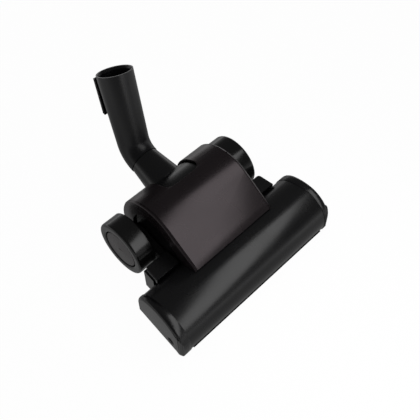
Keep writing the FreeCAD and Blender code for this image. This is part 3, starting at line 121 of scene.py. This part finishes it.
world = bpy.data.worlds.new("white_room")
world.use_nodes = True
bpy.context.scene.world = world
tree = world.node_tree
tree.nodes.clear()
direction = add_node(tree, "ShaderNodeTexCoord")
axes = add_node(tree, "ShaderNodeSeparateXYZ", links={0: (direction, "Generated")})
walls = add_node(tree, "ShaderNodeMapRange",
                 {"From Min": horizon_height, "From Max": ceiling_height, "To Min": horizon_strength,
                  "To Max": ceiling_strength}, {"Value": (axes, "Z")})
mirrored_room = add_node(tree, "ShaderNodeBackground", {"Color": white}, {"Strength": (walls, 0)})
soft_room = add_node(tree, "ShaderNodeBackground", {"Color": white, "Strength": room_strength})
backdrop = add_node(tree, "ShaderNodeBackground", {"Color": white, "Strength": 1.0})
path = add_node(tree, "ShaderNodeLightPath")
glossy = add_node(tree, "ShaderNodeMixShader",
                  links={0: (path, "Is Glossy Ray"), 1: (soft_room, 0), 2: (mirrored_room, 0)})
whole = add_node(tree, "ShaderNodeMixShader",
                 links={0: (path, "Is Camera Ray"), 1: (glossy, 0), 2: (backdrop, 0)})
add_node(tree, "ShaderNodeOutputWorld", links={"Surface": (whole, 0)})


# Two lamps: a narrow softbox hangs close over the front of the head and makes the long soft streak on the
# hood and the broad one on the cover, and a large weak one behind the camera only lifts the shadows.
def softbox(name, place, across, upward, width, height, radiance):
    light = bpy.data.lights.new(name, "AREA")
    light.shape = "RECTANGLE"
    light.size = width
    light.size_y = height
    light.energy = radiance * math.pi * width * height
    lamp = bpy.data.objects.new(name, light)
    bpy.context.collection.objects.link(lamp)
    facing = across.cross(upward)
    lamp.matrix_world = Matrix((
        (across.x, upward.x, facing.x, place[0]),
        (across.y, upward.y, facing.y, place[1]),
        (across.z, upward.z, facing.z, place[2]),
        (0, 0, 0, 1)))
    return lamp


key_place = (0.0399, -0.3475, 0.2647)
key_width = 0.186
key_height = 0.625
key_radiance = 2.0
across = Vector((0.747, -0.190, -0.637)).normalized()
upward = Vector((0.344, 0.9305, 0.126))
upward = (upward - across * upward.dot(across)).normalized()
softbox("key_softbox", key_place, across, upward, key_width, key_height, key_radiance)

fill_place = (-0.9, -0.9, 1.3)
fill_size = 1.2
fill_radiance = 0.6
fill = softbox("fill_softbox", fill_place, Vector((0.7071, -0.7071, 0)), Vector((0.5, 0.5, 0.7071)),
               fill_size, fill_size, fill_radiance)
fill.visible_glossy = False


# The camera stands high over the left front corner, where the photograph was taken, with a slight roll.
# Its place, its turn and its focal length were fitted to the outlines of the real head.
azimuth = math.radians(-43.85)
elevation = math.radians(54.26)
roll = math.radians(-1.27)
stand = (-0.30598, -0.37658, 0.69129)
film_width = 36
focal_pixels = 663.63
frame_pixels = 420
back = Vector((math.sin(azimuth) * math.cos(elevation), -math.cos(azimuth) * math.cos(elevation),
               math.sin(elevation)))
level = Vector((math.cos(azimuth), math.sin(azimuth), 0))
raised = back.cross(level)
right = level * math.cos(roll) + raised * math.sin(roll)
top = raised * math.cos(roll) - level * math.sin(roll)
lens = bpy.data.cameras.new("camera")
lens.sensor_width = film_width
lens.lens = focal_pixels / frame_pixels * film_width
lens.clip_start = 0.01
camera = bpy.data.objects.new("camera", lens)
bpy.context.collection.objects.link(camera)
camera.matrix_world = Matrix((
    (right.x, top.x, back.x, stand[0]),
    (right.y, top.y, back.y, stand[1]),
    (right.z, top.z, back.z, stand[2]),
    (0, 0, 0, 1)))
bpy.context.scene.camera = camera


# Hood, neck, arms and chassis: injection moulded black ABS from a polished tool, in shells that lie one over
# the other. The light makes soft streaks, with uneven gloss in patches about 45 mm wide, on slightly round
# edges too. The real grain is finer than a pixel, so it is drawn nearly a millimetre wide to show at all.
cloud_scale = 22.0
relief_strength = 0.3
noise_low = 0.3
noise_high = 0.7


def moulding(name, colour, roughness, grain_mm, depth_mm, edge_mm=0.35, uneven=0.03, tint=None,
             shine=0.5, gleam="#ffffff"):
    material, tree = new_material(name)
    where = add_node(tree, "ShaderNodeTexCoord")
    grain = add_node(tree, "ShaderNodeTexNoise", {"Scale": 1000 / grain_mm, "Detail": 2.0},
                     {"Vector": (where, "Object")})
    clouds = add_node(tree, "ShaderNodeTexNoise", {"Scale": cloud_scale, "Detail": 3.0},
                      {"Vector": (where, "Object")})
    gloss = add_node(tree, "ShaderNodeMapRange",
                     {"From Min": noise_low, "From Max": noise_high, "To Min": roughness - uneven,
                      "To Max": roughness + uneven}, {"Value": (clouds, "Fac")})
    tone = add_node(tree, "ShaderNodeMix",
                    {"data_type": "RGBA", 6: linear(colour), 7: linear(tint or colour)}, {0: (clouds, "Fac")})
    edge = add_node(tree, "ShaderNodeBevel", {"samples": 4, "Radius": edge_mm / 1000})
    relief = add_node(tree, "ShaderNodeBump", {"Strength": relief_strength, "Distance": depth_mm / 1000},
                      {"Height": (grain, "Fac"), "Normal": (edge, "Normal")})
    shader = add_node(tree, "ShaderNodeBsdfPrincipled",
                      {"IOR": 1.5, "Specular IOR Level": shine, "Specular Tint": linear(gleam)},
                      {"Base Color": (tone, 2), "Roughness": (gloss, "Result"), "Normal": (relief, "Normal")})
    add_node(tree, "ShaderNodeOutputMaterial", links={"Surface": (shader, 0)})
    return material


def dress(material, *names):
    for name in names:
        thing = nodes[name]
        if not thing.material_slots:
            thing.data.materials.append(material)
        for slot in thing.material_slots:
            slot.material = material


black_abs = moulding("polished_black_abs", "#080809", 0.26, 0.9, 0.012, tint="#0a0a0b")
dress(black_abs, "brush_hood", "chassis_base", "left_arm_cover", "right_arm_cover", "turbine_housing",
      "left_side_plate", "right_side_plate", "neck_collar", "sole_plate", "belt_guard")


# Elbow with its wand socket, wheel hubs and sole rollers: black ABS from a plainer tool, a little duller than
# the hood. The elbow turns in the neck, and the hubs and rollers run on steel pins.
tube_abs = moulding("satin_black_abs", "#08080a", 0.34, 0.7, 0.014, tint="#0a0a0c", shine=0.3)
dress(tube_abs, "elbow_tube", "elbow_spigot", "left_wheel_hub", "right_wheel_hub", "left_roller",
      "right_roller")


# End caps of the head: the same black ABS as the hood, moulded with a round rim about the end face, and held
# by a screw each. Each starts from the plain cap with a square rim, which is cut in thin slices below its end
# face, and their outlines are drawn in.
merge_distance = 0.00001
smooth_angle = math.radians(27)


def merged_copy(name, source):
    thing = nodes[source].copy()
    thing.data = nodes[source].data.copy()
    thing.name = name
    bpy.context.collection.objects.link(thing)
    bpy.ops.object.select_all(action="DESELECT")
    thing.select_set(True)
    bpy.context.view_layer.objects.active = thing
    bpy.ops.object.mode_set(mode="EDIT")
    bpy.ops.mesh.select_all(action="SELECT")
    bpy.ops.mesh.remove_doubles(threshold=merge_distance)
    return thing


def cut_at(place, normal):
    bpy.ops.mesh.select_all(action="SELECT")
    bpy.ops.mesh.bisect(plane_co=place, plane_no=normal)


def shift_points(thing, wanted, move):
    mesh = bmesh.from_edit_mesh(thing.data)
    for vertex in mesh.verts:
        if wanted(vertex.co):
            vertex.co = move(vertex.co)
    bmesh.update_edit_mesh(thing.data)


def finished(thing, body, slot, material, *replaced):
    if thing.mode == "EDIT":
        bpy.ops.object.mode_set(mode="OBJECT")
    bpy.ops.object.select_all(action="DESELECT")
    thing.select_set(True)
    bpy.context.view_layer.objects.active = thing
    bpy.ops.object.transform_apply(location=True, rotation=True, scale=True)
    bpy.ops.object.shade_smooth_by_angle(angle=smooth_angle)
    bpy.ops.object.modifier_add(type="WEIGHTED_NORMAL")
    thing.modifiers[-1].keep_sharp = True
    thing.modifiers[-1].weight = 50
    bpy.ops.object.modifier_apply(modifier=thing.modifiers[-1].name)
    thing.data.materials.clear()
    thing.data.materials.append(material)
    if replaced:
        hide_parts(*replaced)
    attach(thing, body)
    bpy.ops.object.select_all(action="DESELECT")


rim_round = 0.0036
rim_steps = (0, 22.5, 45, 67.5, 90)
end_reach = 0.008
end_facing = 0.9
screw_y = -0.1212
screw_z = 0.0158
screw_clear = 0.0084
seat_faces = []
for side, name in ((-1, "left_end_cap"), (1, "right_end_cap")):
    cap = merged_copy(name + "_rounded", name)
    low, high = (Vector(corner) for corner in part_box(name))
    middle = (low + high) / 2
    mesh = bmesh.from_edit_mesh(cap.data)
    end_face = max((face for face in mesh.faces if face.normal.x * side > end_facing
                    and abs(face.calc_center_median().x - (low.x if side < 0 else high.x)) < end_reach),
                   key=lambda face: face.calc_area())
    normal = end_face.normal.copy()
    place = end_face.calc_center_median()
    for step in rim_steps:
        depth = rim_round * (1 - math.sin(math.radians(step)))
        inset = rim_round * (1 - math.cos(math.radians(step)))
        level = place - normal * depth
        if depth > merge_distance:
            cut_at(level, normal)
        if inset == 0:
            continue

        def on_outline(point):
            reach = math.hypot(point.y - screw_y, point.z - screw_z)
            return abs((point - level).dot(normal)) < 2 * merge_distance and reach > screw_clear

        def drawn_in(point):
            return point - Vector((0, point.y - middle.y, point.z - middle.z)).normalized() * inset

        shift_points(cap, on_outline, drawn_in)
    finished(cap, "head", "black_plastic", black_abs, name)
    seat_faces.append((place, normal))


# Cap screws: one pan head screw with a cross recess in each end cap, of blackened steel, driven into a low
# round seat that is moulded on the end face. The marks of the tool are drawn about a millimetre apart.
mark_scale = 900.0
smoother = 0.06
rougher = 0.08


def metal(name, colour, roughness):
    material, tree = new_material(name)
    where = add_node(tree, "ShaderNodeTexCoord")
    marks = add_node(tree, "ShaderNodeTexNoise", {"Scale": mark_scale, "Detail": 2.0},
                     {"Vector": (where, "Object")})
    gloss = add_node(tree, "ShaderNodeMapRange",
                     {"From Min": noise_low, "From Max": noise_high, "To Min": roughness - smoother,
                      "To Max": roughness + rougher}, {"Value": (marks, "Fac")})
    shader = add_node(tree, "ShaderNodeBsdfPrincipled", {"Base Color": linear(colour), "Metallic": 1.0},
                      {"Roughness": (gloss, "Result")})
    add_node(tree, "ShaderNodeOutputMaterial", links={"Surface": (shader, 0)})
    return material


def drum_blank(radius, depth, middle, segments=48):
    bpy.ops.object.select_all(action="DESELECT")
    bpy.ops.mesh.primitive_cylinder_add(vertices=segments, radius=radius, depth=depth,
                                        location=(0, 0, middle))
    bpy.ops.object.transform_apply(location=True, rotation=True, scale=True)
    return bpy.context.object


def bevelled(thing, width):
    bpy.ops.object.modifier_add(type="BEVEL")
    thing.modifiers[-1].width = width
    thing.modifiers[-1].segments = 3
    thing.modifiers[-1].limit_method = "ANGLE"
    bpy.ops.object.modifier_apply(modifier=thing.modifiers[-1].name)


def cut_with(thing, cutter):
    bpy.ops.object.select_all(action="DESELECT")
    thing.select_set(True)
    bpy.context.view_layer.objects.active = thing
    bpy.ops.object.modifier_add(type="BOOLEAN")
    thing.modifiers[-1].operation = "DIFFERENCE"
    thing.modifiers[-1].object = cutter
    bpy.ops.object.modifier_apply(modifier=thing.modifiers[-1].name)
    bpy.data.objects.remove(cutter, do_unlink=True)


def joined(parts):
    bpy.ops.object.select_all(action="DESELECT")
    for part in parts:
        part.select_set(True)
    bpy.context.view_layer.objects.active = parts[0]
    bpy.ops.object.join()
    return bpy.context.object


def set_on_face(thing, place, normal):
    spot = Vector((place.x, screw_y, screw_z))
    spot.x -= (spot - place).dot(normal) / normal.x
    turn = Vector((0, 0, 1)).rotation_difference(normal).to_matrix().to_4x4()
    thing.data.transform(Matrix.Translation(spot) @ turn)


seat_radius = 0.0047
bore_radius = 0.0037
bore_middle = 0.0006
seat_height = 0.0016
seat_middle = -0.0002
seat_edge = 0.0003
head_radius = 0.0032
head_height = 0.0014
head_middle = 0.0002
head_edge = 0.0005
recess_turns = (25, 115)
recess_radius = 0.001
recess_height = 0.0012
recess_middle = 0.0008
recess_stretch = (3.0, 0.62, 1, 1)
blackened = metal("blackened_steel", "#3a3a3c", 0.33)
heads = []
seats = []
for place, normal in seat_faces:
    seat = drum_blank(seat_radius, seat_height, seat_middle)
    cut_with(seat, drum_blank(bore_radius, seat_height, bore_middle))
    bevelled(seat, seat_edge)
    set_on_face(seat, place, normal)
    seats.append(seat)
    head = drum_blank(head_radius, head_height, head_middle)
    bevelled(head, head_edge)
    for turn in recess_turns:
        slot = drum_blank(recess_radius, recess_height, recess_middle, segments=4)
        slot.data.transform(Matrix.Rotation(math.radians(45), 4, "Z"))
        slot.data.transform(Matrix.Rotation(math.radians(turn), 4, "Z") @ Matrix.Diagonal(recess_stretch))
        cut_with(head, slot)
    set_on_face(head, place, normal)
    heads.append(head)
screw_seats = joined(seats)
screw_seats.name = "cap_screw_seats"
finished(screw_seats, "head", "black_plastic", black_abs)
screw_heads = joined(heads)
screw_heads.name = "cap_screw_heads"
finished(screw_heads, "head", "steel", blackened, "cap_screws")


# Drum cover and hub caps: black ABS from a finely sparked tool, which reads as a warm dark grey in the light.
# Beside each rim of the cover runs a deep groove with a strip outside it that slopes down, and the front lip
# of the apron rolls down over the hood. The cover lies over the drum, and the caps sit in the hubs.
cover_abs = moulding("sparked_black_abs", "#0e0b0c", 0.27, 0.6, 0.02, tint="#120e10", gleam="#fff0f5")
dress(cover_abs, "left_hub_cap", "right_hub_cap")

cover = merged_copy("turbine_cover_lipped", "turbine_cover")
cover_low, cover_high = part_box("turbine_cover")
front = cover_low[1]
drum_y = -0.0217
drum_z = 0.0434
drum_radius = 0.0528
apron_slope = math.radians(35.8)
groove_sides = (0.0014, 0.0023)
groove_reach = 0.0008
groove_bottom = 0.0003
groove_shift = 0.0009
groove_fall = 0.0011
strip_width = 0.0009
strip_fall = 0.0010
lip_cuts = (0.009, 0.0072, 0.0055, 0.004, 0.0026, 0.0013)
lip_length = lip_cuts[0]
lip_drop = 0.0019
lip_reach = 0.0023
front_reach = 0.0005
skin_depth = 0.0001


def skin(point):
    across, rise = drum_y - point.y, point.z - drum_z
    angle = math.atan2(across, rise)
    if angle > apron_slope:
        outward = Vector((0, -math.sin(apron_slope), math.cos(apron_slope)))
        return outward, drum_radius - (outward.z * rise - outward.y * across)
    return Vector((0, -math.sin(angle), math.cos(angle))), drum_radius - math.hypot(across, rise)


def from_side(point):
    return min(point.x - cover_low[0], cover_high[0] - point.x)


def by_groove(point):
    return groove_sides[0] < from_side(point) < groove_sides[1] and skin(point)[1] < groove_reach


def moved_groove(point):
    outward, depth = skin(point)
    inward = 1 if point.x < (cover_low[0] + cover_high[0]) / 2 else -1
    fall = groove_fall if depth > groove_bottom else 0
    return point + Vector((inward * groove_shift, 0, 0)) - outward * fall


def on_strip(point):
    return from_side(point) < strip_width and -2 * skin_depth < skin(point)[1] < strip_width


shift_points(cover, by_groove, moved_groove)
shift_points(cover, on_strip, lambda point: point - skin(point)[0] * strip_fall)
lip_top = max(vertex.co.z for vertex in cover.data.vertices if abs(vertex.co.y - front) < front_reach)


def near_top(point):
    level = lip_top + (point.y - front) * math.tan(apron_slope)
    return point.y < front + lip_length - merge_distance and -lip_reach < point.z - level < skin_depth


def rolled_down(point):
    return point - Vector((0, 0, lip_drop * (1 - (point.y - front) / lip_length) ** 2))


for length in lip_cuts:
    cut_at((0, front + length, 0), (0, 1, 0))
shift_points(cover, near_top, rolled_down)
bpy.ops.mesh.select_mode(type="FACE")
bpy.ops.mesh.select_all(action="DESELECT")
mesh = bmesh.from_edit_mesh(cover.data)
for face in mesh.faces:
    face.select_set(all(abs(skin(vertex.co)[1]) < skin_depth for vertex in face.verts))
bmesh.update_edit_mesh(cover.data)
bpy.ops.mesh.tris_convert_to_quads(face_threshold=math.radians(0.5), shape_threshold=math.radians(180))
finished(cover, "head", "satin_plastic", cover_abs, "turbine_cover")


# Tyres, front strip and drive belt: smooth soft black rubber with a glossy moulded skin. The tyres wrap the
# rims of the hubs and have round shoulders, and the strip runs along the lower front edge of the head.
rubber = moulding("smooth_black_rubber", "#090909", 0.17, 1.2, 0.008, edge_mm=0.8)
dress(rubber, "front_bumper", "drive_belt")
shoulder = 0.0011
shoulder_share = 0.6
shoulder_angle = math.radians(17)


def pick_edges(thing, wanted):
    bpy.ops.mesh.select_mode(type="EDGE")
    bpy.ops.mesh.select_all(action="DESELECT")
    mesh = bmesh.from_edit_mesh(thing.data)
    for edge in mesh.edges:
        edge.select_set(wanted(edge))
    bmesh.update_edit_mesh(thing.data)


def on_shoulder(edge):
    return len(edge.link_faces) == 2 and edge.calc_face_angle() > shoulder_angle


for side in ("left", "right"):
    name = side + "_wheel_tyre"
    tyre = merged_copy(name + "_rounded", name)
    bpy.ops.mesh.tris_convert_to_quads(face_threshold=math.radians(30), shape_threshold=math.radians(60))
    pick_edges(tyre, on_shoulder)
    bpy.ops.mesh.bevel(offset=shoulder * shoulder_share, segments=3, affect="EDGES", clamp_overlap=True)
    finished(tyre, side + "_wheel", "tyre_rubber", rubber, name)


# Roll core, turbine wheel and their pulleys: dark grey glass filled plastic, moulded and set on steel shafts.
# The glass gives them a dull, slightly rough skin.
roll_plastic = moulding("dark_grey_moulded_plastic", "#3a3a3c", 0.5, 0.8, 0.02)
dress(roll_plastic, "brush_core", "brush_pulley", "turbine_wheel", "turbine_pulley")


# Bristles: bundles of black nylon strands, set in the core in two rows that wind outwards from the middle of
# the roll and leave the belt's track free. Each strand is drawn thicker than the real one, to show.
nylon = moulding("black_nylon_bristle", "#1c1c1d", 0.5, 0.4, 0.02)
low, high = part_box("brush_bristles")
roll = Vector(((low[0] + high[0]) / 2, (low[1] + high[1]) / 2, (low[2] + high[2]) / 2))
row_end = 0.0955
row_turn = math.radians(300)
tuft_pitch = 0.0046
belt_low, belt_high = (corner[0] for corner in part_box("brush_pulley"))
belt_room = 0.0035
strand_rings = ((0, 1), (0.0011, 6), (0.002, 9))
strand_foot = 0.00036
strand_point = 0.00026
strand_splay = 0.9
strand_root = 0.0148
tip_clear = 0.0002
strand_tip = min(high[1] - low[1], high[2] - low[2]) / 2 - tip_clear
strand_length = strand_tip - strand_root
tuft_trim = 0.995
strands = []
for ring, count in strand_rings:
    for step in range(count):
        bpy.ops.mesh.primitive_cone_add(vertices=4, radius1=strand_foot, radius2=strand_point,
                                        depth=strand_length, location=(0, 0, 0), end_fill_type="NGON")
        strand = bpy.context.object
        tilt = Matrix.Rotation(math.atan2(ring * strand_splay, strand_length), 4, "Y")
        strand.data.transform(Matrix.Translation((0, 0, strand_length / 2)))
        strand.data.transform(Matrix.Translation((ring, 0, 0)) @ tilt)
        strand.data.transform(Matrix.Rotation(2 * math.pi * step / count, 4, "Z"))
        strands.append(strand)
tuft = joined(strands)
tuft.data.transform(Matrix.Diagonal((1, 1, tuft_trim, 1)))
tuft.data.transform(Matrix.Translation((0, 0, strand_root)))
tufts = []
for row in range(2):
    for step in range(int(2 * row_end / tuft_pitch) + 1):
        along = -row_end + step * tuft_pitch
        if belt_low - belt_room < roll.x + along < belt_high + belt_room:
            continue
        angle = math.pi * row + row_turn * abs(along) / row_end
        one = tuft.copy()
        one.data = tuft.data.copy()
        bpy.context.collection.objects.link(one)
        one.data.transform(Matrix.Translation(roll + Vector((along, 0, 0))) @ Matrix.Rotation(-angle, 4, "X"))
        tufts.append(one)
bpy.data.objects.remove(tuft, do_unlink=True)
bristles = joined(tufts)
bristles.name = "bristle_rows"
finished(bristles, "brush_roll", "bristle_nylon", nylon, "brush_bristles")


# Swivel ring: a smooth, slippery ring of pale acetal with a soft gloss. It is sprung into the neck and runs
# in a groove of the elbow's spigot, so that the elbow turns but stays in.
acetal = moulding("pale_acetal", "#b9b9b5", 0.4, 0.8, 0.01)
dress(acetal, "swivel_ring")


# Sole screws, shafts, pins, clips and bearings: bright drawn steel with fine turning marks. The bushes of the
# roll are of oil filled sintered bronze, and sit in the end caps.
steel = metal("drawn_steel", "#a9aaac", 0.3)
dress(steel, "brush_shaft", "turbine_shaft", "left_axle", "right_axle", "left_axle_clip", "right_axle_clip",
      "left_roller_pin", "right_roller_pin", "sole_screws", "left_turbine_bearing", "right_turbine_bearing")
bronze = metal("sintered_bronze", "#a07c45", 0.45)
dress(bronze, "left_roll_bush", "right_roll_bush")

bpy.context.scene.view_settings.view_transform = "Standard"
